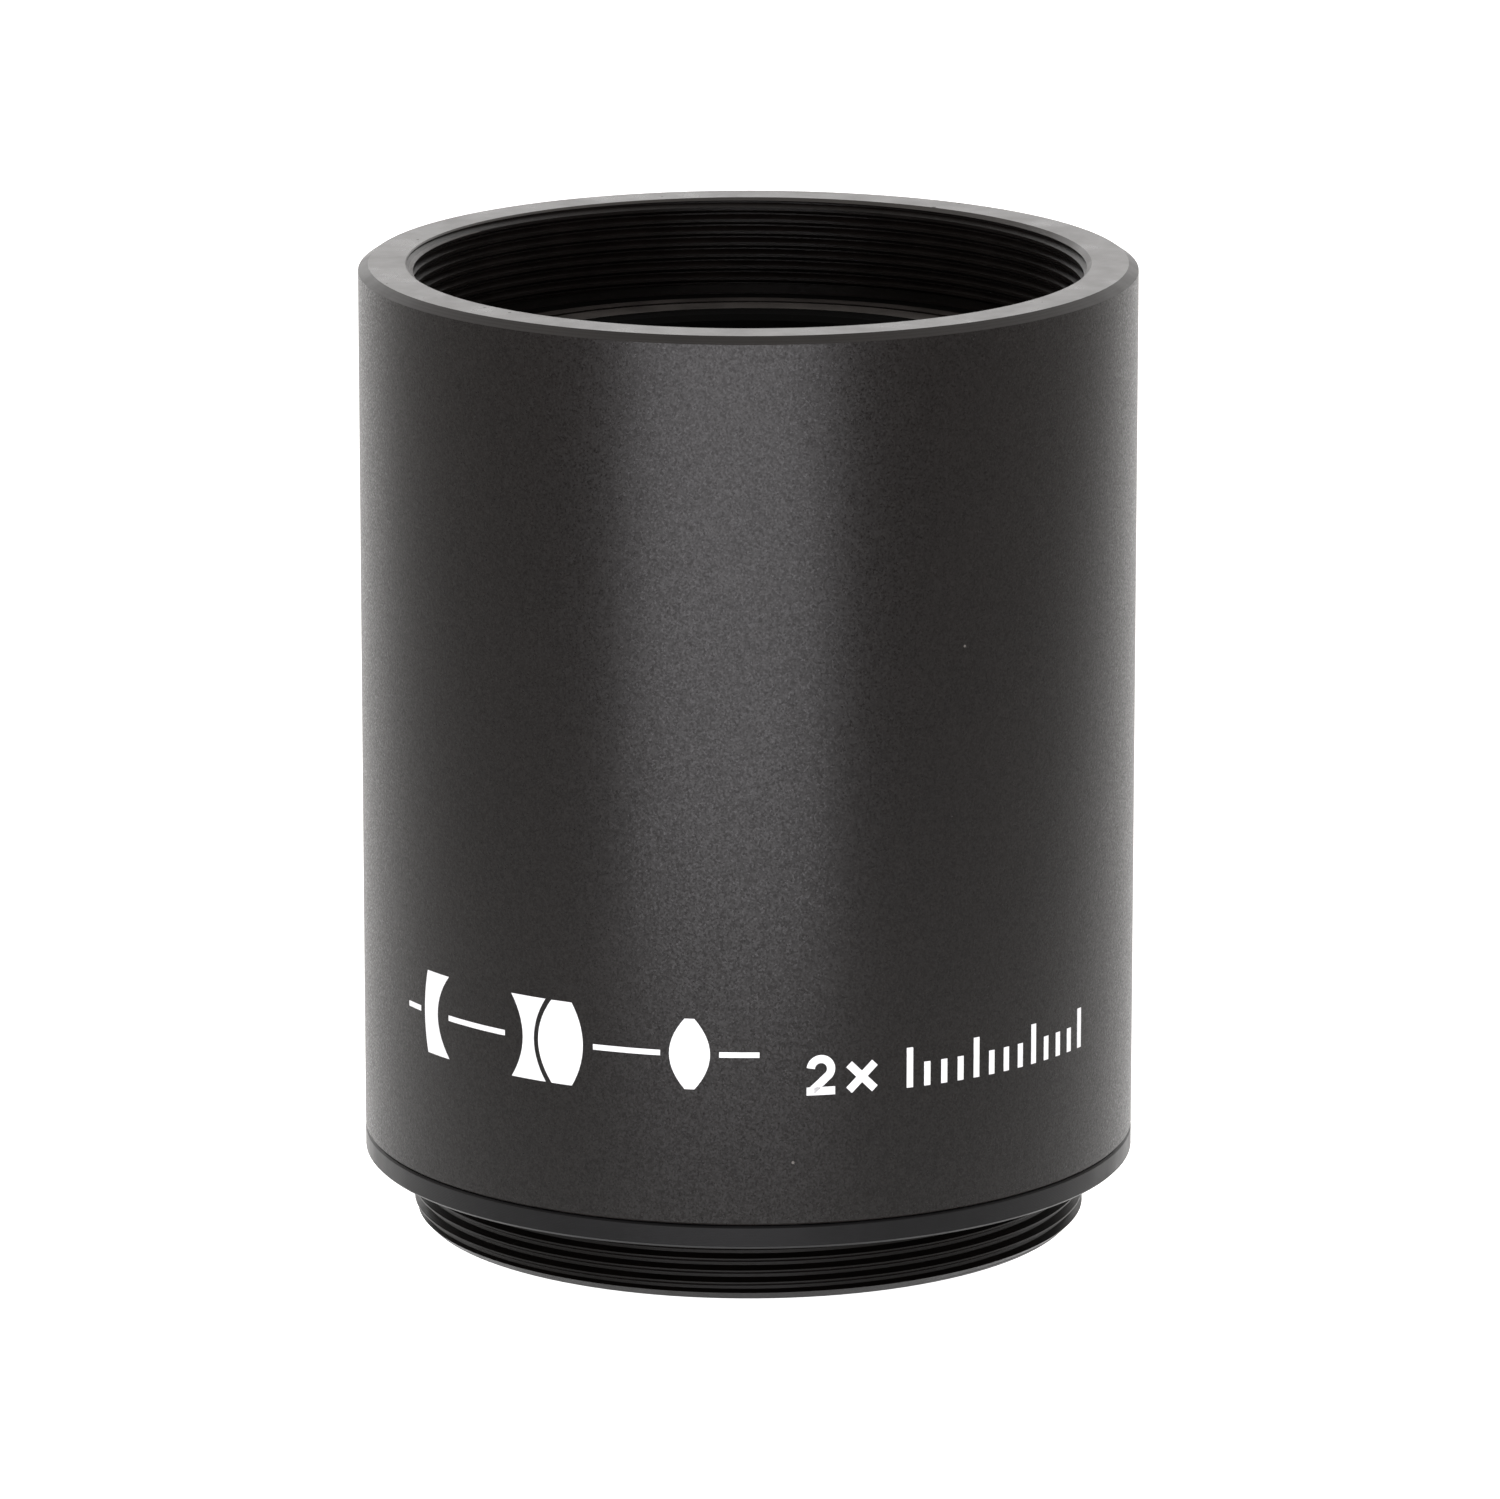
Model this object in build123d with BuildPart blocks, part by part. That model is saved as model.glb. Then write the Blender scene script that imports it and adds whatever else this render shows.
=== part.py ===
from build123d import *
import math
import os

os.makedirs("parts", exist_ok=True)

# Screw-in 2x barlow converter with T threads (M42 x 0.75) at both ends.
# Millimetres.  Z is the optical axis: Z = 0 is the end of the male camera thread and
# +Z points out of the female thread, towards the telescope.

# ---------------------------------------------------------------- driving dimensions
HEIGHT = 60.4
BODY_R = 24.0
EDGE_BREAK = 0.12
SEAT_GAP = 0.05

# T thread, and the finer threads that hold the converter together
T_THREAD_R = 21.0
T_PITCH = 0.75
SERVICE_THREAD_R = 22.5
LOCK_PITCH = 0.5
THREAD_ALLOWANCE = 0.03
SERVICE_ALLOWANCE = 0.1
CUT_OVERRUN = 0.05
FLANK_TAN = math.tan(math.radians(30))
THREAD_DEPTH = 5 / 16 / FLANK_TAN
CAMERA_GROOVE_HEIGHT = 0.2175
GROOVE_HEIGHT = 0.3
RUN_OUT = 1.0
LOCK_PILOT = 0.6
LOCK_GROOVE_END = 0.3
PILOT_FIT = 0.1

# Telescope end: rim, female thread, run-out groove and shoulder
RIM_R = 23.39
RIM_CHAMFER = 0.42
FRONT_MOUTH_R = 21.1
FRONT_THREAD_LOW = 54.8
SHOULDER_Z = 54.15
SHOULDER_R = 18.8
SHOULDER_THICKNESS = 1.5
RUN_OUT_R = 21.2

# Camera end: male thread, seat and band of the rear mount ring
SEAT_Z = 4.2
PARTING_Z = 5.7
PARTING_GAP = 0.06
MALE_END_R = 20.38
MALE_RUN_OUT_R = 20.45
MALE_RUN_OUT = 0.8
SEAT_INNER_R = 21.2
SEAT_UNDERCUT = 0.15
BAND_CHAMFER = 0.15
SPIGOT_LENGTH = 4.5
SPIGOT_RUN_OUT_R = 21.9
REAR_BORE_R = 18.6
REAR_MOUTH = 0.4
REAR_RIB_DEPTH = 0.35
REAR_RIB_MARGIN = 0.9

# Rear chamber of the barrel
SERVICE_THREAD_LENGTH = 5.2
SERVICE_RUN_OUT_R = 22.75
CELL_BORE_R = 20.4
TRAP_THREAD_HIGH = 28.9

# Rear baffle, a thin ring that drops into the spigot
BAFFLE_R = 19.9
BAFFLE_HOLE_R = 16.9
BAFFLE_THICKNESS = 0.8
BAFFLE_KNIFE = 0.2

# Lens cell and the rings that hold it
SHIM_THICKNESS = 0.3
NOSE_R = 18.7
NOSE_STEP = 0.05
CELL_R = 20.35
CELL_WAIST_R = 19.4
CELL_LAND = 5.5
CELL_REAR_Z = 28.0
CELL_CHAMFER = 0.3
CELL_LIP_R = 13.0
FRONT_LOCK_THREAD_R = 16.75
FRONT_LOCK_SINK = 0.1
FRONT_LOCK_BEVEL = 0.35
REAR_LOCK_THREAD_R = 14.0
REAR_LOCK_LENGTH = 2.0
RETAINER_LENGTH = 4.4
RETAINER_BORE_R = 17.6
SPANNER_SLOT = 1.6
SPANNER_SLOT_DEPTH = 1.0
SPANNER_SLOT_REACH = 60.0

# Optics: vertex heights and radii of curvature, positive when the centre lies towards
# the camera.  Two times magnification with infinity focus kept at the T flange distance.
FRONT_VERTEX_Z = 52.3
MENISCUS_THICKNESS = 1.8
MENISCUS_RADII = (160.0, 37.93)
MENISCUS_CLEAR = (15.0, 14.0)
DOUBLET_VERTEX_Z = 43.9
NEGATIVE_THICKNESS = 1.6
POSITIVE_THICKNESS = 6.2
DOUBLET_RADII = (-62.0, 34.0, -150.0)
DOUBLET_CLEAR = (14.0, 12.9)
CEMENT = 0.02
REAR_VERTEX_Z = 33.7
REAR_LENS_THICKNESS = 3.6
REAR_LENS_RADII = (266.6, -240.0)
REAR_LENS_CLEAR = 12.6
FRONT_GLASS_R = 16.0
REAR_GLASS_R = 13.5
GLASS_FIT = 0.04
GLASS_BEVEL = 0.15
SPACER_BORE_R = 14.2
SPACER_BEVEL = 0.5
STOP_THICKNESS = 0.3
STOP_HOLE_R = 12.9


# ---------------------------------------------------------------- shared geometry
def turn(*outline):
    """Turn a closed outline of (radius, height) corners about the optical axis."""
    with BuildSketch(Plane.XZ) as section:
        with BuildLine():
            Polyline(*outline, close=True)
        make_face()
    revolve(section.sketch, axis=Axis.Z)


def male_crest(nominal_r, allowance):
    """Radius of the crests of a male thread."""
    return nominal_r - allowance


def female_crest(nominal_r, pitch, allowance):
    """Radius of the crests of a female thread."""
    return nominal_r - THREAD_DEPTH * pitch + allowance


def cut_thread(crest_r, root_r, root_flat, pitch, blind_z, open_z, height):
    """Cut a right-hand thread with 60 degree flanks from its blind end until it is clear of
    its open end, one turn at a time.  Its groove crosses the XZ plane at height, give or
    take whole pitches."""
    mouth_r = crest_r + math.copysign(CUT_OVERRUN, crest_r - root_r)
    mouth = root_flat + 2 * abs(mouth_r - root_r) * FLANK_TAN
    turns = math.ceil(abs(open_z - blind_z) / pitch + 0.5)
    low = blind_z if open_z > blind_z else blind_z - turns * pitch
    inner, outer = sorted(((root_r, root_flat), (mouth_r, mouth)))
    inner_low, inner_high, outer_low, outer_high = (
        Edge.make_helix(pitch, pitch, radius, center=(0, 0, side * width / 2))
        for radius, width in (inner, outer)
        for side in (-1, 1)
    )
    loop = (inner_low, inner_high, outer_high, outer_low)
    walls = [Face.make_surface_from_curves(loop[n], loop[(n + 1) % 4]) for n in range(4)]
    ends = [Face(Wire.make_polygon([edge @ end for edge in loop], close=True)) for end in (0, 1)]
    one_turn = Solid(Shell(walls + ends)).rotate(Axis.Z, 360 * (low - height) / pitch)
    with Locations(*((0, 0, low + turn_number * pitch) for turn_number in range(turns))):
        add(one_turn, mode=Mode.SUBTRACT)


def cut_male_thread(
    nominal_r, pitch, blind_z, open_z, allowance=THREAD_ALLOWANCE, height=GROOVE_HEIGHT
):
    """Cut a male thread: flat crests an eighth of the pitch wide, roots a quarter."""
    crest_r = male_crest(nominal_r, allowance)
    root_r = crest_r - THREAD_DEPTH * pitch
    cut_thread(crest_r, root_r, pitch / 4, pitch, blind_z, open_z, height)


def cut_female_thread(nominal_r, pitch, blind_z, open_z, allowance=THREAD_ALLOWANCE):
    """Cut a female thread, half a pitch from the grooves of the male thread that fits it."""
    crest_r = female_crest(nominal_r, pitch, allowance)
    root_r = nominal_r + allowance
    height = GROOVE_HEIGHT + pitch / 2
    cut_thread(crest_r, root_r, pitch / 8, pitch, blind_z, open_z, height)


def sag(radius, height):
    """Depth of a spherical surface behind its vertex at a height off the axis."""
    return radius - math.copysign(math.sqrt(radius**2 - height**2), radius)


def surface_arc(vertex_z, radius, clear_r):
    """Half section of a lens surface, from its vertex out to its clear radius."""
    heights = (0, clear_r / 2, clear_r)
    return ThreePointArc(*((h, vertex_z - sag(radius, h)) for h in heights))


def grind_lens(front, rear, edge_r):
    """Turn a lens from its two surfaces, each (vertex height, radius, clear radius).
    Outside its clear radius a surface is ground flat to make a seat."""
    front_seat, rear_seat = (z - sag(radius, clear) for z, radius, clear in (front, rear))
    with BuildSketch(Plane.XZ) as section:
        with BuildLine():
            front_arc = surface_arc(*front)
            rear_arc = surface_arc(*rear)
            Polyline(
                front_arc @ 1,
                (edge_r - GLASS_BEVEL, front_seat),
                (edge_r, front_seat - GLASS_BEVEL),
                (edge_r, rear_seat + GLASS_BEVEL),
                (edge_r - GLASS_BEVEL, rear_seat),
                rear_arc @ 1,
            )
            Line(rear_arc @ 0, front_arc @ 0)
        make_face()
    revolve(section.sketch, axis=Axis.Z)


def cut_spanner_slots(face_z, inwards):
    """Cut a pair of slots for a lens spanner across the end face of a ring."""
    with BuildSketch(Plane.XY.offset(face_z)) as slots:
        Rectangle(SPANNER_SLOT_REACH, SPANNER_SLOT)
    extrude(slots.sketch, amount=inwards * SPANNER_SLOT_DEPTH, mode=Mode.SUBTRACT)


# ---------------------------------------------------------------- derived heights and radii
t_male_r = male_crest(T_THREAD_R, THREAD_ALLOWANCE)
t_female_r = female_crest(T_THREAD_R, T_PITCH, THREAD_ALLOWANCE)
service_male_r = male_crest(SERVICE_THREAD_R, SERVICE_ALLOWANCE)
service_female_r = female_crest(SERVICE_THREAD_R, T_PITCH, SERVICE_ALLOWANCE)
front_lock_male_r = male_crest(FRONT_LOCK_THREAD_R, THREAD_ALLOWANCE)
front_lock_female_r = female_crest(FRONT_LOCK_THREAD_R, LOCK_PITCH, THREAD_ALLOWANCE)
rear_lock_male_r = male_crest(REAR_LOCK_THREAD_R, THREAD_ALLOWANCE)
rear_lock_female_r = female_crest(REAR_LOCK_THREAD_R, LOCK_PITCH, THREAD_ALLOWANCE)

shoulder_under_z = SHOULDER_Z - SHOULDER_THICKNESS
cell_face_z = shoulder_under_z - SHIM_THICKNESS
nose_z = SHOULDER_Z - NOSE_STEP
service_top_z = PARTING_Z + SERVICE_THREAD_LENGTH
band_top_z = PARTING_Z - PARTING_GAP
spigot_z = PARTING_Z + SPIGOT_LENGTH
baffle_z = spigot_z - BAFFLE_THICKNESS
retainer_z = CELL_REAR_Z - RETAINER_LENGTH

meniscus_front = (FRONT_VERTEX_Z, MENISCUS_RADII[0], MENISCUS_CLEAR[0])
meniscus_rear = (FRONT_VERTEX_Z - MENISCUS_THICKNESS, MENISCUS_RADII[1], MENISCUS_CLEAR[1])
meniscus_seat_z = meniscus_front[0] - sag(*meniscus_front[1:])
meniscus_back_z = meniscus_rear[0] - sag(*meniscus_rear[1:])

negative_front = (DOUBLET_VERTEX_Z, DOUBLET_RADII[0], DOUBLET_CLEAR[0])
cemented_r = FRONT_GLASS_R - GLASS_BEVEL
negative_rear = (DOUBLET_VERTEX_Z - NEGATIVE_THICKNESS, DOUBLET_RADII[1], cemented_r)
positive_front = (negative_rear[0] - CEMENT, DOUBLET_RADII[1], cemented_r)
positive_rear = (positive_front[0] - POSITIVE_THICKNESS, DOUBLET_RADII[2], DOUBLET_CLEAR[1])
doublet_seat_z = negative_front[0] - sag(*negative_front[1:])
doublet_back_z = positive_rear[0] - sag(*positive_rear[1:])

rear_lens_front = (REAR_VERTEX_Z, REAR_LENS_RADII[0], REAR_LENS_CLEAR)
rear_lens_rear = (REAR_VERTEX_Z - REAR_LENS_THICKNESS, REAR_LENS_RADII[1], REAR_LENS_CLEAR)
rear_lens_seat_z = rear_lens_front[0] - sag(*rear_lens_front[1:])
rear_lens_back_z = rear_lens_rear[0] - sag(*rear_lens_rear[1:])

front_glass_bore_r = FRONT_GLASS_R + GLASS_FIT
rear_glass_bore_r = REAR_GLASS_R + GLASS_FIT
lip_top_z = doublet_back_z - STOP_THICKNESS
front_lock_top_z = nose_z - FRONT_LOCK_SINK
rear_lock_low_z = rear_lens_back_z - REAR_LOCK_LENGTH


# ---------------------------------------------------------------- barrel
with BuildPart() as barrel:
    turn(
        (service_female_r + EDGE_BREAK, PARTING_Z),
        (BODY_R - EDGE_BREAK, PARTING_Z),
        (BODY_R, PARTING_Z + EDGE_BREAK),
        (BODY_R, HEIGHT - RIM_CHAMFER),
        (RIM_R, HEIGHT),
        (FRONT_MOUTH_R, HEIGHT),
        (t_female_r, HEIGHT - (FRONT_MOUTH_R - t_female_r)),
        (t_female_r, FRONT_THREAD_LOW),
        (RUN_OUT_R, FRONT_THREAD_LOW),
        (RUN_OUT_R, SHOULDER_Z),
        (SHOULDER_R, SHOULDER_Z),
        (SHOULDER_R, shoulder_under_z),
        (CELL_BORE_R, shoulder_under_z),
        (CELL_BORE_R, TRAP_THREAD_HIGH + RUN_OUT),
        (RUN_OUT_R, TRAP_THREAD_HIGH + RUN_OUT),
        (RUN_OUT_R, TRAP_THREAD_HIGH),
        (t_female_r, TRAP_THREAD_HIGH),
        (t_female_r, service_top_z + RUN_OUT),
        (SERVICE_RUN_OUT_R, service_top_z + RUN_OUT),
        (SERVICE_RUN_OUT_R, service_top_z),
        (service_female_r, service_top_z),
        (service_female_r, PARTING_Z + EDGE_BREAK),
    )
    # telescope thread
    cut_female_thread(T_THREAD_R, T_PITCH, (FRONT_THREAD_LOW + SHOULDER_Z) / 2, HEIGHT)
    # light-trap thread of the rear chamber, which also takes the cell's retaining ring
    cut_female_thread(T_THREAD_R, T_PITCH, TRAP_THREAD_HIGH + RUN_OUT / 2, service_top_z + RUN_OUT)
    # service thread for the rear mount ring
    cut_female_thread(
        SERVICE_THREAD_R, T_PITCH, service_top_z + RUN_OUT / 2, PARTING_Z, SERVICE_ALLOWANCE
    )
barrel.part.label = "barrel"
export_step(barrel.part, "parts/barrel.step")


# ---------------------------------------------------------------- rear mount ring
with BuildPart() as rear_mount_ring:
    turn(
        (REAR_BORE_R + REAR_MOUTH, 0),
        (MALE_END_R, 0),
        (t_male_r, t_male_r - MALE_END_R),
        (t_male_r, SEAT_Z - MALE_RUN_OUT),
        (MALE_RUN_OUT_R, SEAT_Z - MALE_RUN_OUT),
        (MALE_RUN_OUT_R, SEAT_Z + SEAT_UNDERCUT),
        (SEAT_INNER_R, SEAT_Z + SEAT_UNDERCUT),
        (SEAT_INNER_R, SEAT_Z),
        (BODY_R - BAND_CHAMFER, SEAT_Z),
        (BODY_R, SEAT_Z + BAND_CHAMFER),
        (BODY_R, band_top_z - EDGE_BREAK),
        (BODY_R - EDGE_BREAK, band_top_z),
        (SPIGOT_RUN_OUT_R, band_top_z),
        (SPIGOT_RUN_OUT_R, PARTING_Z + RUN_OUT),
        (service_male_r, PARTING_Z + RUN_OUT),
        (service_male_r, spigot_z - CELL_CHAMFER),
        (service_male_r - CELL_CHAMFER, spigot_z),
        (BAFFLE_R + SEAT_GAP, spigot_z),
        (BAFFLE_R + SEAT_GAP, baffle_z - SEAT_GAP),
        (REAR_BORE_R, baffle_z - SEAT_GAP),
        (REAR_BORE_R, REAR_MOUTH),
    )
    # camera thread
    cut_male_thread(
        T_THREAD_R, T_PITCH, SEAT_Z - MALE_RUN_OUT / 2, 0, height=CAMERA_GROOVE_HEIGHT
    )
    # service thread on the spigot
    cut_male_thread(
        SERVICE_THREAD_R, T_PITCH, PARTING_Z + RUN_OUT / 2, spigot_z, SERVICE_ALLOWANCE
    )
    # anti-reflection ribs in the bore
    cut_thread(
        REAR_BORE_R,
        REAR_BORE_R + REAR_RIB_DEPTH,
        T_PITCH / 8,
        T_PITCH,
        REAR_RIB_MARGIN,
        baffle_z,
        GROOVE_HEIGHT,
    )
rear_mount_ring.part.label = "rear_mount_ring"
export_step(rear_mount_ring.part, "parts/rear_mount_ring.step")


# ---------------------------------------------------------------- rear baffle
with BuildPart() as rear_baffle:
    turn(
        (BAFFLE_R, baffle_z),
        (BAFFLE_R, spigot_z),
        (BAFFLE_HOLE_R + BAFFLE_THICKNESS - BAFFLE_KNIFE, spigot_z),
        (BAFFLE_HOLE_R, baffle_z + BAFFLE_KNIFE),
        (BAFFLE_HOLE_R, baffle_z),
    )
rear_baffle.part.label = "rear_baffle"
export_step(rear_baffle.part, "parts/rear_baffle.step")


# ---------------------------------------------------------------- lens cell
with BuildPart() as lens_cell:
    turn(
        (front_lock_female_r + EDGE_BREAK, nose_z),
        (NOSE_R - CELL_CHAMFER / 2, nose_z),
        (NOSE_R, nose_z - CELL_CHAMFER / 2),
        (NOSE_R, cell_face_z),
        (CELL_R - CELL_CHAMFER, cell_face_z),
        (CELL_R, cell_face_z - CELL_CHAMFER),
        (CELL_R, cell_face_z - CELL_LAND),
        (CELL_WAIST_R, cell_face_z - CELL_LAND - (CELL_R - CELL_WAIST_R)),
        (CELL_WAIST_R, CELL_REAR_Z + CELL_LAND + (CELL_R - CELL_WAIST_R)),
        (CELL_R, CELL_REAR_Z + CELL_LAND),
        (CELL_R, CELL_REAR_Z + CELL_CHAMFER),
        (CELL_R - CELL_CHAMFER, CELL_REAR_Z),
        (rear_lock_female_r + EDGE_BREAK, CELL_REAR_Z),
        (rear_lock_female_r, CELL_REAR_Z + EDGE_BREAK),
        (rear_lock_female_r, rear_lens_back_z),
        (rear_glass_bore_r, rear_lens_back_z),
        (rear_glass_bore_r, rear_lens_seat_z),
        (CELL_LIP_R, rear_lens_seat_z),
        (CELL_LIP_R, lip_top_z),
        (front_glass_bore_r, lip_top_z),
        (front_glass_bore_r, meniscus_seat_z),
        (front_lock_female_r, meniscus_seat_z),
        (front_lock_female_r, nose_z - EDGE_BREAK),
    )
    cut_female_thread(FRONT_LOCK_THREAD_R, LOCK_PITCH, meniscus_seat_z + LOCK_GROOVE_END, nose_z)
    cut_female_thread(
        REAR_LOCK_THREAD_R, LOCK_PITCH, rear_lens_back_z - LOCK_GROOVE_END, CELL_REAR_Z
    )
lens_cell.part.label = "lens_cell"
export_step(lens_cell.part, "parts/lens_cell.step")


# ---------------------------------------------------------------- focus shim
with BuildPart() as focus_shim:
    turn(
        (SHOULDER_R, cell_face_z),
        (CELL_R, cell_face_z),
        (CELL_R, shoulder_under_z),
        (SHOULDER_R, shoulder_under_z),
    )
focus_shim.part.label = "focus_shim"
export_step(focus_shim.part, "parts/focus_shim.step")


# ---------------------------------------------------------------- cell retaining ring
with BuildPart() as cell_retaining_ring:
    turn(
        (RETAINER_BORE_R + CELL_CHAMFER, retainer_z),
        (t_male_r - CELL_CHAMFER, retainer_z),
        (t_male_r, retainer_z + CELL_CHAMFER),
        (t_male_r, CELL_REAR_Z - CELL_CHAMFER),
        (t_male_r - CELL_CHAMFER, CELL_REAR_Z),
        (RETAINER_BORE_R, CELL_REAR_Z),
        (RETAINER_BORE_R, retainer_z + CELL_CHAMFER),
    )
    cut_male_thread(T_THREAD_R, T_PITCH, retainer_z - T_PITCH, CELL_REAR_Z)
    cut_spanner_slots(retainer_z, inwards=1)
cell_retaining_ring.part.label = "cell_retaining_ring"
export_step(cell_retaining_ring.part, "parts/cell_retaining_ring.step")


# ---------------------------------------------------------------- front lock ring
with BuildPart() as front_lock_ring:
    turn(
        (MENISCUS_CLEAR[0], meniscus_seat_z),
        (front_lock_female_r - PILOT_FIT, meniscus_seat_z),
        (front_lock_female_r - PILOT_FIT, meniscus_seat_z + LOCK_PILOT),
        (front_lock_male_r, meniscus_seat_z + LOCK_PILOT),
        (front_lock_male_r, front_lock_top_z),
        (MENISCUS_CLEAR[0] + FRONT_LOCK_BEVEL, front_lock_top_z),
        (MENISCUS_CLEAR[0], front_lock_top_z - FRONT_LOCK_BEVEL),
    )
    cut_male_thread(
        FRONT_LOCK_THREAD_R, LOCK_PITCH, meniscus_seat_z + LOCK_PILOT / 2, front_lock_top_z
    )
    cut_spanner_slots(front_lock_top_z, inwards=-1)
front_lock_ring.part.label = "front_lock_ring"
export_step(front_lock_ring.part, "parts/front_lock_ring.step")


# ---------------------------------------------------------------- rear lock ring
with BuildPart() as rear_lock_ring:
    turn(
        (REAR_LENS_CLEAR, rear_lock_low_z + EDGE_BREAK),
        (REAR_LENS_CLEAR + EDGE_BREAK, rear_lock_low_z),
        (rear_lock_male_r, rear_lock_low_z),
        (rear_lock_male_r, rear_lens_back_z - LOCK_PILOT),
        (rear_lock_female_r - PILOT_FIT, rear_lens_back_z - LOCK_PILOT),
        (rear_lock_female_r - PILOT_FIT, rear_lens_back_z),
        (REAR_LENS_CLEAR, rear_lens_back_z),
    )
    cut_male_thread(
        REAR_LOCK_THREAD_R, LOCK_PITCH, rear_lens_back_z - LOCK_PILOT / 2, rear_lock_low_z
    )
    cut_spanner_slots(rear_lock_low_z, inwards=1)
rear_lock_ring.part.label = "rear_lock_ring"
export_step(rear_lock_ring.part, "parts/rear_lock_ring.step")


# ---------------------------------------------------------------- spacer and light stop
with BuildPart() as front_spacer:
    turn(
        (SPACER_BORE_R, meniscus_back_z),
        (FRONT_GLASS_R, meniscus_back_z),
        (FRONT_GLASS_R, doublet_seat_z),
        (SPACER_BORE_R, doublet_seat_z),
        (SPACER_BORE_R + SPACER_BEVEL, (meniscus_back_z + doublet_seat_z) / 2),
    )
front_spacer.part.label = "front_spacer"
export_step(front_spacer.part, "parts/front_spacer.step")

with BuildPart() as light_stop:
    turn(
        (STOP_HOLE_R, lip_top_z),
        (FRONT_GLASS_R, lip_top_z),
        (FRONT_GLASS_R, doublet_back_z),
        (STOP_HOLE_R, doublet_back_z),
    )
light_stop.part.label = "light_stop"
export_step(light_stop.part, "parts/light_stop.step")


# ---------------------------------------------------------------- lens elements
with BuildPart() as front_element:
    grind_lens(meniscus_front, meniscus_rear, FRONT_GLASS_R)
front_element.part.label = "front_element"
export_step(front_element.part, "parts/front_element.step")

with BuildPart() as doublet_front_element:
    grind_lens(negative_front, negative_rear, FRONT_GLASS_R)
doublet_front_element.part.label = "doublet_front_element"
export_step(doublet_front_element.part, "parts/doublet_front_element.step")

with BuildPart() as doublet_rear_element:
    grind_lens(positive_front, positive_rear, FRONT_GLASS_R)
doublet_rear_element.part.label = "doublet_rear_element"
export_step(doublet_rear_element.part, "parts/doublet_rear_element.step")

with BuildPart() as rear_element:
    grind_lens(rear_lens_front, rear_lens_rear, REAR_GLASS_R)
rear_element.part.label = "rear_element"
export_step(rear_element.part, "parts/rear_element.step")
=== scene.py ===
import math

import bmesh
import bpy
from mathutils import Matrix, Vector


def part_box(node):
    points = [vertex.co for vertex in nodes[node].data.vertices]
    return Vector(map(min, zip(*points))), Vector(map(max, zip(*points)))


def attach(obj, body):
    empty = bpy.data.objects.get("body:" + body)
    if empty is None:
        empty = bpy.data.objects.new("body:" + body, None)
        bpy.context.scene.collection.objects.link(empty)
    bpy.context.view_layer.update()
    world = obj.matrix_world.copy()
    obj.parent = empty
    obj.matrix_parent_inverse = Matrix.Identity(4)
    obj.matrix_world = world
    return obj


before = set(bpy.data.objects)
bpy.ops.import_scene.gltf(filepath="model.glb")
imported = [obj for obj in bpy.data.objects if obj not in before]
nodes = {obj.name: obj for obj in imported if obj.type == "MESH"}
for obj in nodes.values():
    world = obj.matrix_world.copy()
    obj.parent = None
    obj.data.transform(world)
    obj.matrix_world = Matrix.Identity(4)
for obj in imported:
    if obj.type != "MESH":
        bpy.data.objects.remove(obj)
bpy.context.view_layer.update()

# A screw-in 2x barlow converter on a white sweep.  Metres, in the CAD frame: the optical
# axis is Z, the camera thread's end lies at Z = 0 and the printed side faces -Y.
MM = 0.001
barrel_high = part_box("barrel")[1]
body_r = barrel_high.x
height = barrel_high.z
middle = (0, 0, height / 2)


# ---------------------------------------------------------------- node helpers
RANGE_SOCKETS = ("From Min", "From Max", "To Min", "To Max")


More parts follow.
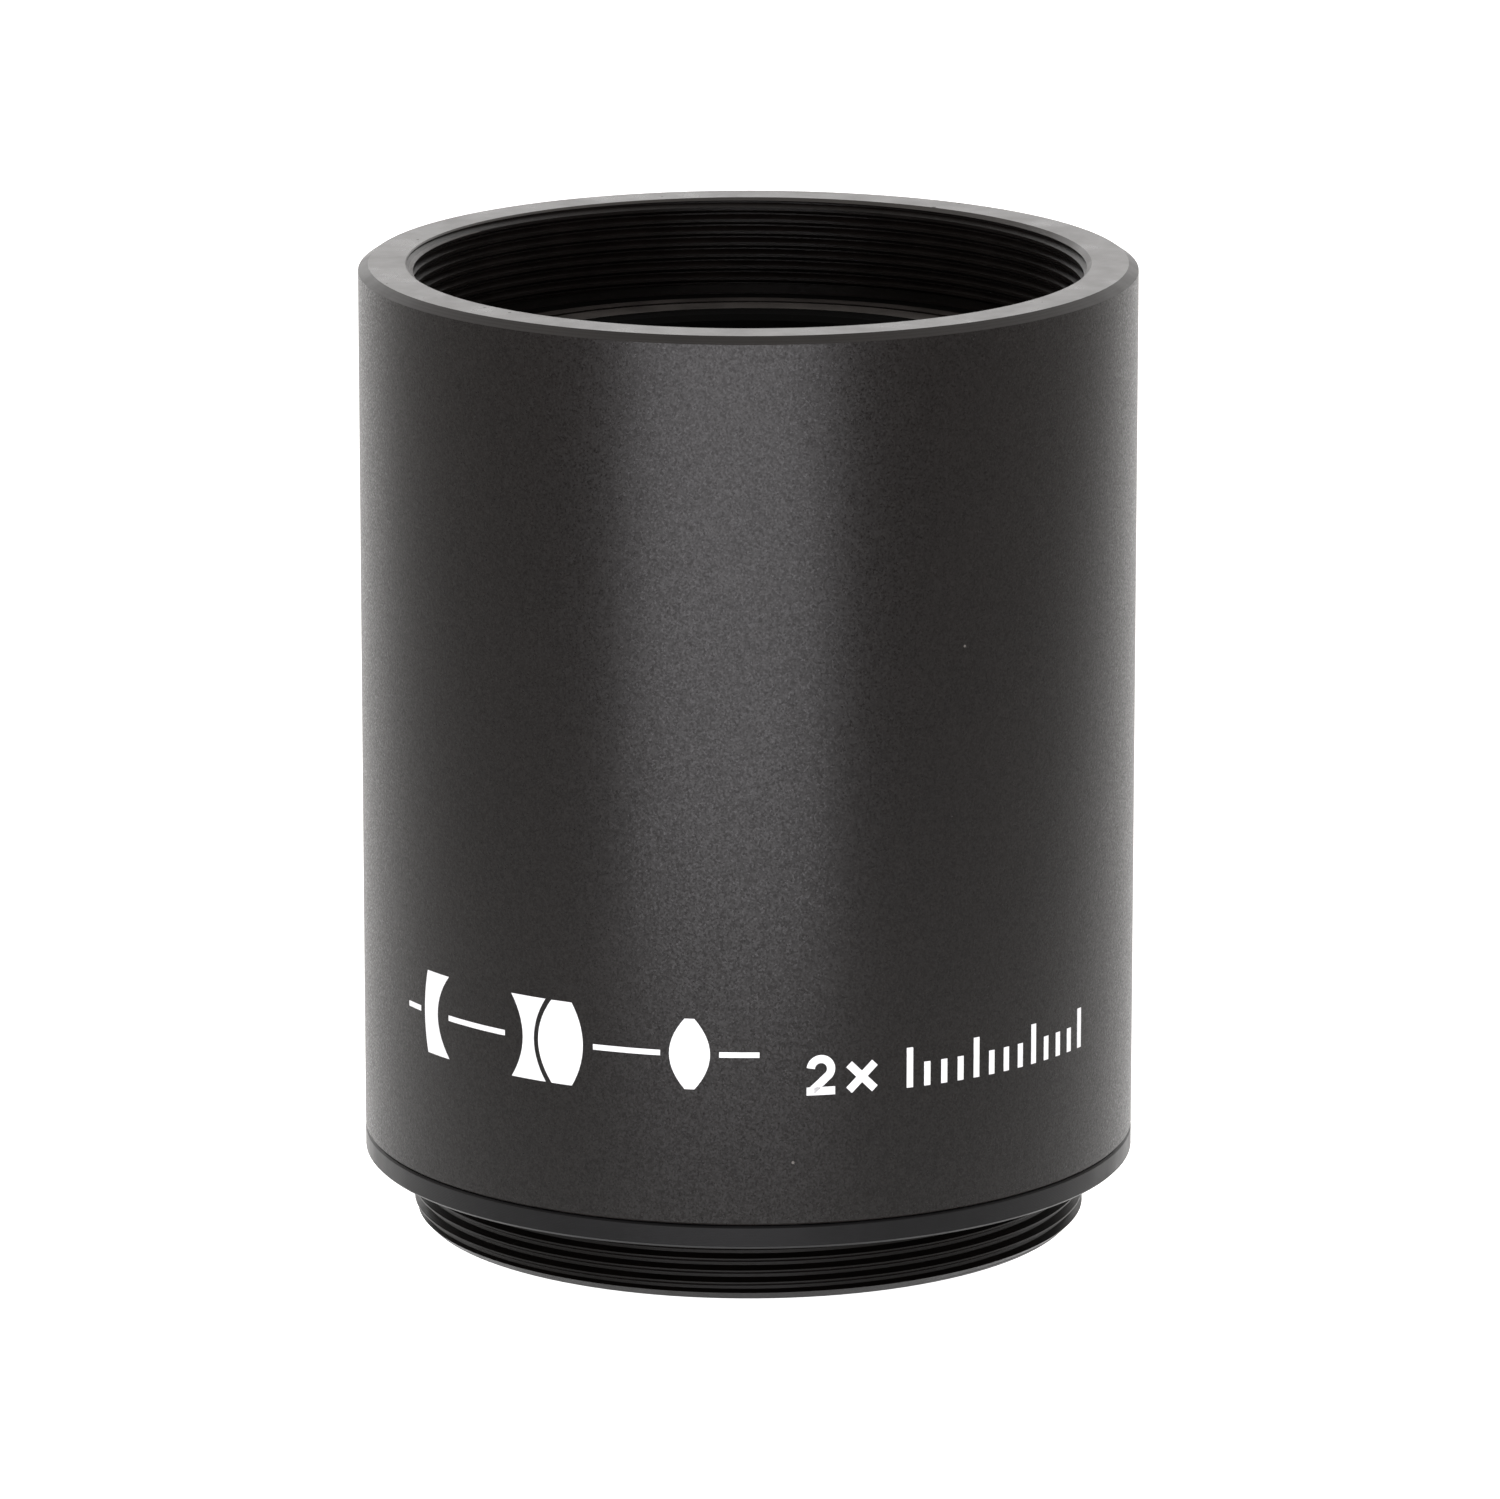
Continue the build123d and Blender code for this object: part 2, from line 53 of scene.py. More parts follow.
class Shade:
    """A material's node tree, with short calls for the nodes used here."""

    def __init__(self, name):
        self.material = bpy.data.materials.new(name)
        self.material.use_nodes = True
        self.tree = self.material.node_tree
        self.surface = self.tree.nodes["Principled BSDF"]
        self.place = self.add("ShaderNodeTexCoord").outputs["Object"]

    def add(self, kind, **settings):
        node = self.tree.nodes.new(kind)
        for name, value in settings.items():
            setattr(node, name, value)
        return node

    def link(self, value, socket):
        if isinstance(value, (int, float)):
            socket.default_value = value
        elif isinstance(value, tuple):
            socket.default_value = (*value, 1.0)
        else:
            self.tree.links.new(value, socket)

    def set(self, **values):
        for name, value in values.items():
            self.link(value, self.surface.inputs[name.replace("_", " ")])

    def math(self, operation, first, second=0.0, clamp=False):
        node = self.add("ShaderNodeMath", operation=operation, use_clamp=clamp)
        self.link(first, node.inputs[0])
        self.link(second, node.inputs[1])
        return node.outputs[0]

    def noise(self, size, detail, roughness=0.5, stretch=(1, 1, 1)):
        """Fractal noise whose features are about size metres across."""
        mapping = self.add("ShaderNodeMapping")
        mapping.inputs["Scale"].default_value = stretch
        self.tree.links.new(self.place, mapping.inputs["Vector"])
        node = self.add("ShaderNodeTexNoise")
        node.inputs["Scale"].default_value = 1 / size
        node.inputs["Detail"].default_value = detail
        node.inputs["Roughness"].default_value = roughness
        self.tree.links.new(mapping.outputs["Vector"], node.inputs["Vector"])
        return node.outputs["Fac"]

    def specks(self, cell, share, radius):
        """1 inside small round specks, one in a share of the cells, 0 elsewhere.  cell is in
        metres, and radius is a share of it."""
        cells = self.add("ShaderNodeTexVoronoi", feature="F1")
        cells.inputs["Scale"].default_value = 1 / cell
        self.tree.links.new(self.place, cells.inputs["Vector"])
        split = self.add("ShaderNodeSeparateColor")
        self.tree.links.new(cells.outputs["Color"], split.inputs["Color"])
        chosen = self.math("LESS_THAN", split.outputs["Red"], share)
        near = self.math("LESS_THAN", cells.outputs["Distance"], radius)
        return self.math("MULTIPLY", chosen, near)

    def ramp(self, value, low, high, out_low, out_high):
        """value from low to high, as out_low to out_high and no further."""
        node = self.add("ShaderNodeMapRange")
        self.link(value, node.inputs["Value"])
        for name, number in zip(RANGE_SOCKETS, (low, high, out_low, out_high)):
            node.inputs[name].default_value = number
        return node.outputs["Result"]

    def blend(self, share, first, second):
        node = self.add("ShaderNodeMix", data_type="RGBA")
        self.link(share, node.inputs["Factor"])
        self.link(first, node.inputs["A"])
        self.link(second, node.inputs["B"])
        return node.outputs["Result"]

    def bump(self, heights, distance, strength, under=None):
        """The normal under, bent by heights from 0 to 1 over a distance in metres."""
        node = self.add("ShaderNodeBump")
        node.inputs["Strength"].default_value = strength
        node.inputs["Distance"].default_value = distance
        self.link(heights, node.inputs["Height"])
        if under is not None:
            self.tree.links.new(under, node.inputs["Normal"])
        return node.outputs["Normal"]

    def mosaic(self, size):
        """A random colour in each cell about size metres across."""
        cells = self.add("ShaderNodeTexVoronoi", feature="F1")
        cells.inputs["Scale"].default_value = 1 / size
        self.tree.links.new(self.place, cells.inputs["Vector"])
        return cells.outputs["Color"]

    def facets(self, mosaic, tip, under):
        """The normal under, tipped a random way in each cell of a mosaic."""
        centred = self.add("ShaderNodeVectorMath", operation="SUBTRACT")
        self.tree.links.new(mosaic, centred.inputs[0])
        centred.inputs[1].default_value = (0.5, 0.5, 0.5)
        scaled = self.add("ShaderNodeVectorMath", operation="SCALE")
        self.tree.links.new(centred.outputs["Vector"], scaled.inputs[0])
        scaled.inputs["Scale"].default_value = tip
        tipped = self.add("ShaderNodeVectorMath", operation="ADD")
        self.tree.links.new(under, tipped.inputs[0])
        self.tree.links.new(scaled.outputs["Vector"], tipped.inputs[1])
        unit = self.add("ShaderNodeVectorMath", operation="NORMALIZE")
        self.tree.links.new(tipped.outputs["Vector"], unit.inputs[0])
        return unit.outputs["Vector"]

    def radius_and_height(self):
        """Distance from the optical axis and height along it, as sockets."""
        split = self.add("ShaderNodeSeparateXYZ")
        self.tree.links.new(self.place, split.inputs["Vector"])
        across = self.math("MULTIPLY", split.outputs["X"], split.outputs["X"])
        deep = self.math("MULTIPLY", split.outputs["Y"], split.outputs["Y"])
        radius = self.math("SQRT", self.math("ADD", across, deep))
        return radius, split.outputs["Z"]


# ---------------------------------------------------------------- materials
def blasted_black():
    """The barrel's outer wall: bead-blasted, dyed black, with a fine grain and some dust."""
    shade = Shade("blasted_black_anodise")
    grain = shade.noise(0.14 * MM, detail=1.5, roughness=0.6)
    mottle = shade.noise(0.7 * MM, detail=3.0, roughness=0.7)
    patches = shade.noise(7 * MM, detail=4.0, roughness=0.6)
    small_dust = shade.specks(2.6 * MM, 0.05, 0.035)
    large_dust = shade.specks(5.5 * MM, 0.06, 0.03)
    dust = shade.math("MAXIMUM", small_dust, large_dust)
    hollows, crests = (0.0018, 0.0011, 0.0009), (0.0044, 0.0034, 0.0032)
    tone = shade.blend(shade.ramp(grain, 0.35, 0.65, 0, 1), hollows, crests)
    tone = shade.blend(shade.ramp(mottle, 0.45, 0.75, 0, 0.6), tone, (0.007, 0.0055, 0.005))
    tone = shade.blend(shade.ramp(patches, 0.4, 0.7, 0, 0.5), tone, (0.0052, 0.004, 0.0036))
    tone = shade.blend(shade.math("MULTIPLY", dust, 0.7), tone, (0.16, 0.15, 0.14))
    shade.set(Base_Color=tone, IOR=1.33)
    shade.set(Roughness=shade.ramp(grain, 0.3, 0.7, 0.24, 0.46))
    uneven = shade.bump(patches, 0.03 * MM, 0.3)
    grained = shade.bump(grain, 0.011 * MM, 0.5, under=uneven)
    mosaic = shade.mosaic(0.1 * MM)
    split = shade.add("ShaderNodeSeparateColor")
    shade.tree.links.new(mosaic, split.inputs["Color"])
    shade.set(Specular_IOR_Level=shade.ramp(split.outputs["Blue"], 0.0, 1.0, 0.36, 0.64))
    shade.set(Normal=shade.facets(mosaic, 0.06, grained))
    return shade.material


def turned_black(
    name, colour, roughness, ior=1.25, ring_width=0.06, depth=0.004, pits=False, painted_shade_line=None
):
    """Lathe-turned and anodised black, with concentric tool marks ring_width mm apart and
    depth mm deep.  Outside the radius given as the last argument, in mm, it is blackened as painted
    shade."""
    shade = Shade(name)
    radius, level = shade.radius_and_height()
    phase = shade.math("MULTIPLY", shade.math("ADD", radius, level), 2 * math.pi / (ring_width * MM))
    marks = shade.math("SINE", phase)
    wear = shade.noise(2.5 * MM, detail=4.0, roughness=0.6)
    fine = shade.noise(0.15 * MM, detail=2.0)
    lighter = tuple(1.7 * part for part in colour)
    tone = shade.blend(shade.ramp(wear, 0.35, 0.7, 0, 1), colour, lighter)
    polish = shade.ramp(wear, 0.3, 0.7, roughness - 0.05, roughness + 0.06)
    if pits:
        small_dents = shade.specks(1.1 * MM, 0.16, 0.09)
        large_dents = shade.specks(2.3 * MM, 0.14, 0.07)
        dents = shade.math("MAXIMUM", small_dents, large_dents)
        tone = shade.blend(shade.math("MULTIPLY", dents, 0.7), tone, (0.002, 0.002, 0.002))
        polish = shade.math("ADD", polish, shade.math("MULTIPLY", dents, 0.35), clamp=True)
    # Painted shade: past that radius the tone goes near black.
    if painted_shade_line is not None:
        painted = shade.ramp(radius, painted_shade_line * MM, (painted_shade_line + 0.1) * MM, 0, 1)
        tone = shade.blend(painted, tone, (0.0012, 0.001, 0.001))
    shade.set(Base_Color=tone, Roughness=polish, IOR=ior)
    normal = shade.bump(marks, depth * MM, 0.35)
    shade.set(Normal=shade.bump(fine, 0.004 * MM, 0.35, under=normal))
    return shade.material


def flat_black():
    """Anti-reflection paint on the stops."""
    shade = Shade("flat_black_paint")
    grit = shade.noise(0.12 * MM, detail=4.0, roughness=0.7)
    shade.set(Base_Color=shade.blend(grit, (0.002, 0.002, 0.002), (0.006, 0.006, 0.006)), IOR=1.12)
    shade.set(Roughness=shade.ramp(grit, 0.3, 0.7, 0.75, 0.95))
    shade.set(Normal=shade.bump(grit, 0.02 * MM, 0.6))
    return shade.material


def shim_brass():
    """Rolled brass shim stock with rolling lines and a little tarnish."""
    shade = Shade("shim_brass")
    rolling = shade.noise(0.3 * MM, detail=3.0, stretch=(1, 12, 1))
    tarnish = shade.noise(4 * MM, detail=3.0)
    tone = shade.blend(shade.ramp(tarnish, 0.4, 0.75, 0, 0.7), (0.72, 0.52, 0.22), (0.35, 0.22, 0.1))
    shade.set(Base_Color=tone, Metallic=1.0)
    shade.set(Roughness=shade.ramp(rolling, 0.3, 0.7, 0.22, 0.4))
    shade.set(Normal=shade.bump(rolling, 0.004 * MM, 0.4))
    return shade.material


def coated_glass(name, tint, glint):
    """Polished optical glass with a trace of dust and a coating that leaves a faint coloured
    reflection."""
    shade = Shade(name)
    dust = shade.specks(1.6 * MM, 0.05, 0.05)
    haze = shade.noise(6 * MM, detail=2.0)
    shade.set(Base_Color=shade.blend(shade.math("MULTIPLY", dust, 0.5), tint, (0.5, 0.5, 0.5)))
    shade.set(Roughness=shade.ramp(haze, 0.4, 0.8, 0.0, 0.03))
    shade.set(IOR=1.52, Transmission_Weight=1.0, Specular_IOR_Level=0.16, Specular_Tint=glint)
    return shade.material


def ink_white():
    """Pad-printed white ink, thin at its edges and slightly uneven."""
    shade = Shade("white_ink")
    cover = shade.noise(0.35 * MM, detail=3.0, roughness=0.6)
    thin, full = (0.78, 0.79, 0.82), (0.9, 0.9, 0.92)
    shade.set(Base_Color=shade.blend(shade.ramp(cover, 0.3, 0.7, 0, 1), thin, full))
    shade.set(Roughness=shade.ramp(cover, 0.3, 0.7, 0.45, 0.6))
    shade.set(Normal=shade.bump(cover, 0.004 * MM, 0.4))
    return shade.material


def sweep_white():
    """Matt white acrylic glowing as painted light in a soft pool round the object and behind it,
    brightest under the object, where the glow washes out the object's shadow.  Seen from underneath it
    is clear."""
    shade = Shade("sweep_acrylic")
    fibre = shade.noise(1.5 * MM, detail=3.0)
    split = shade.add("ShaderNodeSeparateXYZ")
    shade.tree.links.new(shade.place, split.inputs["Vector"])
    aside = shade.math("ABSOLUTE", split.outputs["X"])
    behind = shade.math("MAXIMUM", split.outputs["Y"], 0.0)
    off_axis = shade.math("SUBTRACT", aside, shade.math("MULTIPLY", behind, 0.6))
    shade.set(Base_Color=shade.blend(fibre, (0.88, 0.88, 0.88), (0.9, 0.9, 0.9)), Roughness=0.9)
    # Both glows are painted light and fade to nothing between the two distances, in metres.
    pool = shade.ramp(off_axis, 0.06, 0.22, 0.75, 0.0)
    # Painted light: an extra glow under the object that washes out its shadow on the floor.
    shadow_washout_glow = shade.ramp(shade.radius_and_height()[0], 0.02, 0.075, 0.35, 0.0)
    shade.set(Emission_Color=(1.0, 1.0, 1.0), Emission_Strength=shade.math("ADD", pool, shadow_washout_glow))
    clear = shade.add("ShaderNodeBsdfTransparent")
    side = shade.add("ShaderNodeNewGeometry")
    mixed = shade.add("ShaderNodeMixShader")
    shade.tree.links.new(side.outputs["Backfacing"], mixed.inputs["Fac"])
    shade.tree.links.new(shade.surface.outputs["BSDF"], mixed.inputs[1])
    shade.tree.links.new(clear.outputs["BSDF"], mixed.inputs[2])
    shade.tree.links.new(mixed.outputs["Shader"], shade.tree.nodes["Material Output"].inputs["Surface"])
    return shade.material


def paint_node(name, *materials, choose=None):
    """Give a CAD node its materials; choose(centre, normal) says which one a face gets."""
    mesh = nodes[name].data
    mesh.materials.clear()
    for material in materials:
        mesh.materials.append(material)
    if choose is not None:
        for face in mesh.polygons:
            face.material_index = choose(face.center, face.normal)


# A face counts as square to a direction past this cosine, and as outward past the next.
SQUARE = 0.9
OUTWARD = 0.2
# Least share of the barrel's radius at which a face is on its wall, or on the ring's band.
WALL_SHARE = 0.99
BAND_SHARE = 0.96
# Depths below the rim: of the rim itself, of the lead-in bevel, and of what the open end shows.
RIM_DEPTH = 0.1 * MM
LEAD_IN_DEPTH = 1.5 * MM
SEEN_DEPTH = 7 * MM


def radius_of(point):
    """Distance of a point from the optical axis."""
    return math.hypot(point.x, point.y)


def barrel_finish(centre, normal):
    """0 the blasted wall, 1 the turned rim, 2 the threads and bores, 3 the outer bevels,
    4 the lead-in bevel inside the rim, 5 the shoulder under the front thread, with painted light and
    shade."""
    radial = (centre.x * normal.x + centre.y * normal.y) / radius_of(centre)
    if radial > SQUARE and radius_of(centre) > WALL_SHARE * body_r:
        return 0
    if normal.z > SQUARE and centre.z > height - RIM_DEPTH:
        return 1
    if radial > OUTWARD:
        return 3
    if abs(normal.z + radial) < 0.1 and centre.z > height - LEAD_IN_DEPTH:
        return 4
    if normal.z > SQUARE and centre.z > height - SEEN_DEPTH:
        return 5
    return 2


def cell_finish(centre, normal):
    """0 the cell, 1 the flat face of its nose, grey as a painted highlight, 2 the painted bevel inside
    that face.
    """
    if normal.z < 0.3 or centre.z < height - SEEN_DEPTH:
        return 0
    return 1 if normal.z > SQUARE else 2


def ring_finish(centre, normal):
    """0 the band, 1 the threads and the bore."""
    return 0 if radius_of(centre) > BAND_SHARE * body_r else 1


wall_black = blasted_black()
rim_black = turned_black(
    "rim_anodise", (0.024, 0.022, 0.021), 0.3, ior=1.48, ring_width=0.12, depth=0.003, pits=True
)
lead_in_black = turned_black("lead_in_anodise", (0.02, 0.0175, 0.016), 0.38, ior=1.5)
bore_black = turned_black("bore_anodise", (0.0042, 0.003, 0.0027), 0.36, ior=1.3, ring_width=0.05)
thread_black = turned_black("thread_anodise", (0.0017, 0.0012, 0.001), 0.34, ring_width=0.05)
edge_black = turned_black("edge_anodise", (0.008, 0.0067, 0.0062), 0.4, ior=1.38)
band_black = turned_black("band_anodise", (0.003, 0.003, 0.0035), 0.36, ior=1.27, ring_width=0.1)
# The nose face is coloured grey: a painted highlight on black anodise.
nose_painted_highlight_black = turned_black("nose_painted_highlight", (0.05, 0.046, 0.044), 0.45, ior=1.4, ring_width=0.12)
# The shoulder face is grey inside 19.8 mm as painted light, and near black outside it as painted shade.
shoulder_painted_light_and_shade_black = turned_black(
    "shoulder_painted_light_and_shade", (0.038, 0.034, 0.033), 0.45, ring_width=0.12, painted_shade_line=19.8
)
cell_black = turned_black("cell_anodise", (0.003, 0.0026, 0.0024), 0.3, ior=1.35, ring_width=0.12)
paint_black = flat_black()

barrel_blacks = (wall_black, rim_black, bore_black, edge_black, lead_in_black, shoulder_painted_light_and_shade_black)
paint_node("barrel", *barrel_blacks, choose=barrel_finish)
paint_node("rear_mount_ring", band_black, thread_black, choose=ring_finish)
paint_node("lens_cell", cell_black, nose_painted_highlight_black, paint_black, choose=cell_finish)
for cell_part in ("cell_retaining_ring", "rear_lock_ring", "front_spacer"):
    paint_node(cell_part, cell_black)
for stop in ("rear_baffle", "light_stop", "front_lock_ring"):
    paint_node(stop, paint_black)
paint_node("focus_shim", shim_brass())
green_glass = coated_glass("coated_glass_green", (0.95, 0.99, 0.97), (0.45, 1.0, 0.68))
violet_glass = coated_glass("coated_glass_violet", (0.97, 0.96, 0.99), (0.6, 0.45, 1.0))
for element in ("front_element", "rear_element"):
    paint_node(element, green_glass)
for element in ("doublet_front_element", "doublet_rear_element"):
    paint_node(element, violet_glass)


# ---------------------------------------------------------------- printed marks
INK_THICKNESS = 0.02 * MM
INK_SINK = 0.004 * MM
# Ink is cut every INK_STEP round the barrel, so that it follows the curve.
INK_STEP = math.radians(1.0)


def stroke(points, width):
    """Quads of a line of constant width through points, as (azimuth length, height) in mm."""
    left, right = [], []
    for n, (x, y) in enumerate(points):
        before = points[max(n - 1, 0)]
        after = points[min(n + 1, len(points) - 1)]
        along_in = Vector((x - before[0], y - before[1]))
        along_out = Vector((after[0] - x, after[1] - y))
        along_in = along_in.normalized() if along_in.length else along_out.normalized()
        along_out = along_out.normalized() if along_out.length else along_in
        mean = (along_in + along_out).normalized()
        reach = width / 2 / max(mean.dot(along_in), 0.5)
        left.append((x - mean.y * reach, y + mean.x * reach))
        right.append((x + mean.y * reach, y - mean.x * reach))
    return [(right[n], right[n + 1], left[n + 1], left[n]) for n in range(len(points) - 1)]


def arc(centre, radius, start, end, steps):
    """Points along a circular arc, angles in degrees."""
    angles = (math.radians(start + (end - start) * n / steps) for n in range(steps + 1))
    return [(centre[0] + radius * math.cos(a), centre[1] + radius * math.sin(a)) for a in angles]


def print_mark(name, faces, azimuth, level):
    """Lay flat faces, drawn in mm about (0, 0), on the barrel as a thin closed layer of ink, at
    an azimuth in degrees from the front and a level in mm."""
    mesh = bmesh.new()
    corners = {}
    for face in faces:
        ring = []
        for x, y in face:
            key = (round(x, 4), round(y, 4))
            if key not in corners:
                corners[key] = mesh.verts.new((key[0] * MM / body_r, 0, key[1] * MM))
            if corners[key] not in ring:
                ring.append(corners[key])
        mesh.faces.new(ring)
    lows = min(v.co.x for v in mesh.verts)
    highs = max(v.co.x for v in mesh.verts)
    cut = (math.floor(lows / INK_STEP) + 1) * INK_STEP
    while cut < highs:
        everything = mesh.verts[:] + mesh.edges[:] + mesh.faces[:]
        bmesh.ops.bisect_plane(
            mesh, geom=everything, plane_co=(cut, 0, 0), plane_no=(1, 0, 0), dist=1e-7
        )
        cut += INK_STEP
    top = bmesh.ops.extrude_face_region(mesh, geom=mesh.faces[:])
    raised = {v for v in top["geom"] if isinstance(v, bmesh.types.BMVert)}
    for v in mesh.verts:
        radius = body_r + (INK_THICKNESS if v in raised else -INK_SINK)
        angle = v.co.x + math.radians(azimuth - 90)
        v.co = Vector((radius * math.cos(angle), radius * math.sin(angle), v.co.z + level * MM))
    bmesh.ops.recalc_face_normals(mesh, faces=mesh.faces[:])
    data = bpy.data.meshes.new(name)
    mesh.to_mesh(data)
    mesh.free()
    mark = bpy.data.objects.new(name, data)
    bpy.context.scene.collection.objects.link(mark)
    data.materials.append(ink)
    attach(mark, "optical_tube")


def numeral_two(size):
    """A bold 2 of the given height, with its foot on y = 0."""
    pen = 0.2 * size
    bowl = 0.25 * size
    crown = arc((0, size - bowl - pen / 2), bowl, 175, -38, 20)
    neck = [(-bowl * 0.95, pen / 2)]
    foot = [(-bowl - pen / 2, pen / 2), (bowl + pen / 2, pen / 2)]
    return stroke(crown + neck, pen) + stroke(foot, pen)


def times_sign(size):
    """A multiplication sign as four arms round a middle square."""
    half = 0.1 * size
    reach = 0.46 * size
    faces = []
    for turn in range(4):
        a = math.radians(45 + 90 * turn)
        out, side = Vector((math.cos(a), math.sin(a))), Vector((-math.sin(a), math.cos(a)))
        corners = ((half, -half), (reach, -half), (reach, half), (half, half))
        quad = [out * along + side * across for along, across in corners]
        faces.append([(p.x, p.y) for p in quad])
    corner_r = half * math.sqrt(2)
    turns = [math.radians(90 * turn) for turn in range(4)]
    faces.append([(corner_r * math.cos(a), corner_r * math.sin(a)) for a in turns])
    return [[(x, y + 0.4 * size) for x, y in face] for face in faces]


def lens_section(half_height, left, right):
    """Quads that fill a lens section between two surfaces, each (offset at the edge, bulge)."""
    steps = 14
    heights = [half_height * (2 * n / steps - 1) for n in range(steps + 1)]
    rows = []
    for h in heights:
        crown = 1 - (h / half_height) ** 2
        rows.append((left[0] + left[1] * crown, right[0] + right[1] * crown, h))
    pairs = zip(rows, rows[1:])
    return [[(a, low), (b, low), (d, high), (c, high)] for (a, b, low), (c, d, high) in pairs]


def arc_length(degrees):
    """Length in mm round the barrel's wall."""
    return math.radians(degrees) * body_r / MM


ink = ink_white()

# The converter's optical layout: four filled lens sections on an axis.  A row is the name, half
# the height, the left and the right surface as (offset at the edge, bulge), all in mm, and the
# azimuth in degrees.
LAYOUT_Z = 16.4
AXIS_WIDTH = 0.34
LENSES = (
    ("print_lens_meniscus", 2.6, (-0.9, -0.35), (1.25, -1.15), -52.5),
    ("print_lens_hollow", 2.6, (-1.35, 0.85), (1.15, -0.85), -33.5),
    ("print_lens_full", 2.6, (-1.15, -0.95), (0.25, 0.75), -27.0),
    ("print_lens_rear", 2.2, (-0.3, -0.95), (0.3, 0.95), -8.5),
)
for name, half_height, left, right, azimuth in LENSES:
    print_mark(name, lens_section(half_height, left, right), azimuth, LAYOUT_Z)
AXIS_DASHES = ((-60.0, -56.6), (-49.6, -38.0), (-23.0, -12.8), (-4.2, 1.6))
for number, (start, end) in enumerate(AXIS_DASHES):
    half_length = arc_length((end - start) / 2)
    dash = stroke([(-half_length, 0), (half_length, 0)], AXIS_WIDTH)
    print_mark(f"print_axis_{number}", dash, (start + end) / 2, LAYOUT_Z)

# The power and a plain scale: sizes in mm, azimuths in degrees.
SCALE_Z = 13.8
POWER_SIZE = 2.5
TICKS, TICK_WIDTH, LONG_TICK, SHORT_TICK = 13, 0.42, 2.5, 1.5
FIRST_TICK, TICK_SPACING = 24, 2.8
print_mark("print_two", numeral_two(POWER_SIZE), 10.5, SCALE_Z)
print_mark("print_times", times_sign(POWER_SIZE), 16.6, SCALE_Z)
for tick in range(TICKS):
    line = [(0, 0), (0, LONG_TICK if tick % 4 == 0 else SHORT_TICK)]
    azimuth = FIRST_TICK + TICK_SPACING * tick
    print_mark(f"print_tick_{tick}", stroke(line, TICK_WIDTH), azimuth, SCALE_Z)


# ---------------------------------------------------------------- sweep, lights and camera
FLOOR_DROP = 3.9 * MM
CAMERA_TARGET = (0.0001, 0, 0.02945)
CAMERA_DISTANCE = 0.62216
CAMERA_ELEVATION = math.radians(13.8)
CAMERA_FOCAL = 240


def acrylic_sheet(name, curve, half_width, acrylic):
    """A strip of the sweep through (y, z) points, running along X."""
    mesh = bmesh.new()
    edges = (-half_width, half_width)
    rows = [[mesh.verts.new((x, y, z - FLOOR_DROP)) for x in edges] for y, z in curve]
    for low, high in zip(rows, rows[1:]):
        mesh.faces.new((low[0], low[1], high[1], high[0]))
    data = bpy.data.meshes.new(name)
    mesh.to_mesh(data)
    mesh.free()
    for face in data.polygons:
        face.use_smooth = True
    sheet = bpy.data.objects.new(name, data)
    bpy.context.scene.collection.objects.link(sheet)
    data.materials.append(acrylic)
    return sheet


def make_sweep():
    """A sweep that is flat under the object and curves up behind it, and an apron in front that
    neither lights the object nor shows in it.  Both lie as far below the object as the mount
    ring unscrews, so the ring never reaches them."""
    half_width, front, back, top, bend, apron_front = 2.2, -0.12, 1.3, 2.6, 0.7, -2.2
    acrylic = sweep_white()
    steps = 24
    turns = [math.radians(90 * n / steps) for n in range(1, steps + 1)]
    curve = [(y, 0.0) for y in (front, front / 2, 0.0, back - bend)]
    curve += [(back - bend + bend * math.sin(a), bend - bend * math.cos(a)) for a in turns]
    curve.append((back, top))
    acrylic_sheet("sweep", curve, half_width, acrylic)
    apron = acrylic_sheet("apron", [(apron_front, 0.0), (front, 0.0)], half_width, acrylic)
    apron.visible_diffuse = False
    apron.visible_glossy = False
    apron.visible_shadow = False


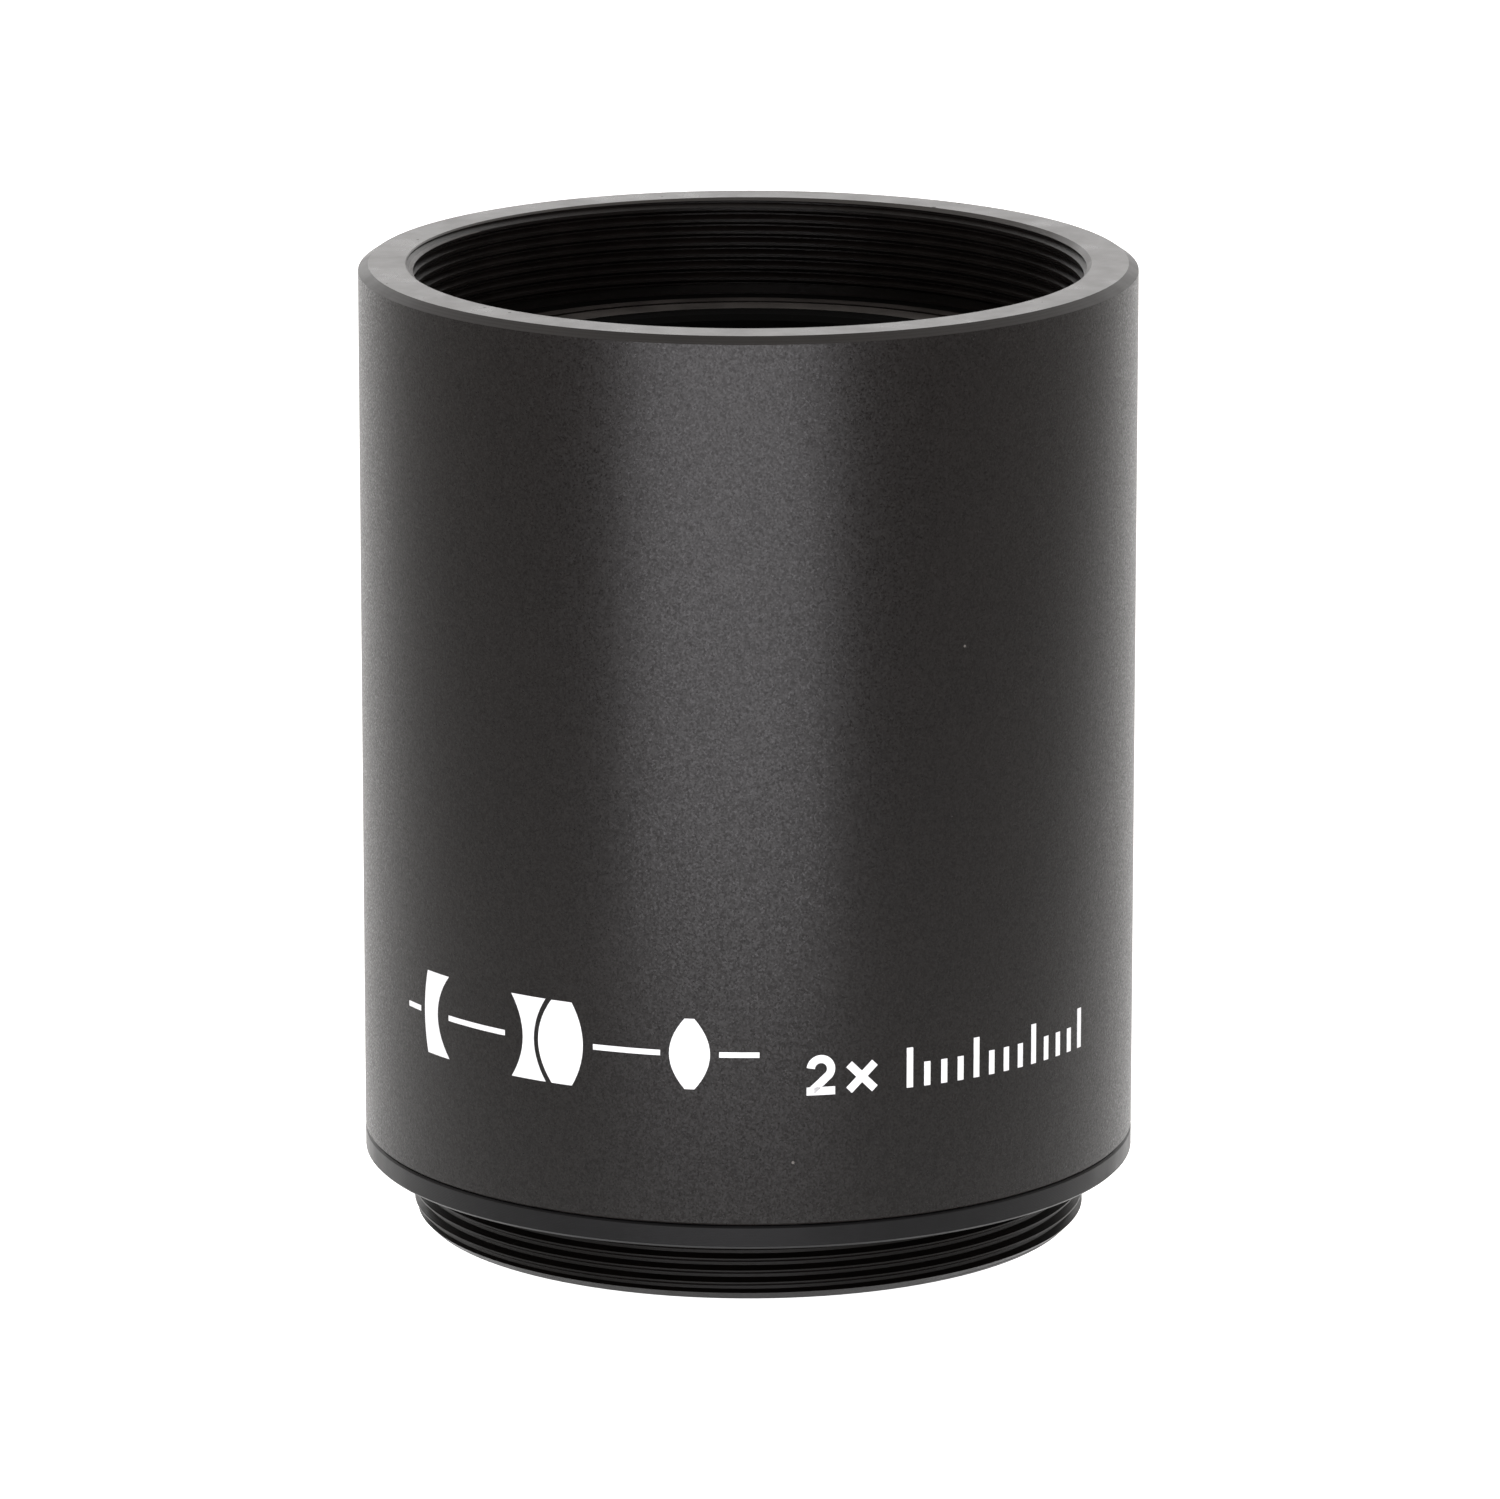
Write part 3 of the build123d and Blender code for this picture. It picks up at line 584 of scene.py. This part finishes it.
def area_light(name, place, target, size, power, colour=(1, 1, 1)):
    """A rectangular soft box of size (width, height) at place, facing target."""
    data = bpy.data.lights.new(name, "AREA")
    data.shape = "RECTANGLE"
    data.size, data.size_y = size
    data.energy = power
    data.color = colour
    light = bpy.data.objects.new(name, data)
    light.location = place
    light.rotation_euler = (Vector(target) - Vector(place)).to_track_quat("-Z", "Y").to_euler()
    bpy.context.scene.collection.objects.link(light)


def make_world(front, back):
    """A warm white surround, dimmer in front of the object than behind it."""
    world = bpy.data.worlds.new("studio")
    world.use_nodes = True
    tree = world.node_tree
    background = tree.nodes["Background"]
    background.inputs["Color"].default_value = (1, 0.955, 0.915, 1)
    place = tree.nodes.new("ShaderNodeTexCoord")
    split = tree.nodes.new("ShaderNodeSeparateXYZ")
    fade = tree.nodes.new("ShaderNodeMapRange")
    tree.links.new(place.outputs["Generated"], split.inputs["Vector"])
    tree.links.new(split.outputs["Y"], fade.inputs["Value"])
    for name, value in zip(RANGE_SOCKETS, (-0.5, 0.8, front, back)):
        fade.inputs[name].default_value = value
    tree.links.new(fade.outputs["Result"], background.inputs["Strength"])
    bpy.context.scene.world = world


def make_camera(target, distance, elevation, focal):
    """A camera in front of target, elevation radians above it, with a focal length in mm."""
    data = bpy.data.cameras.new("camera")
    data.lens = focal
    data.sensor_width = 36
    data.clip_start, data.clip_end = 0.01, 20
    camera = bpy.data.objects.new("camera", data)
    back = Vector((0, -math.cos(elevation), math.sin(elevation))) * distance
    camera.location = Vector(target) + back
    camera.rotation_euler = (-back).to_track_quat("-Z", "Y").to_euler()
    bpy.context.scene.collection.objects.link(camera)
    bpy.context.scene.camera = camera


make_sweep()
make_world(front=0.55, back=1.1)
area_light(
    "front_box", (-0.09, -0.88, -0.12), middle, size=(0.96, 0.7), power=11.6, colour=(0.98, 0.96, 1.0)
)
area_light("left_box", (-0.42, 0.95, 0.1), middle, size=(0.45, 0.8), power=0.5)
make_camera(CAMERA_TARGET, CAMERA_DISTANCE, CAMERA_ELEVATION, CAMERA_FOCAL)

bpy.context.scene.view_settings.view_transform = "Standard"
bpy.context.scene.view_settings.look = "None"
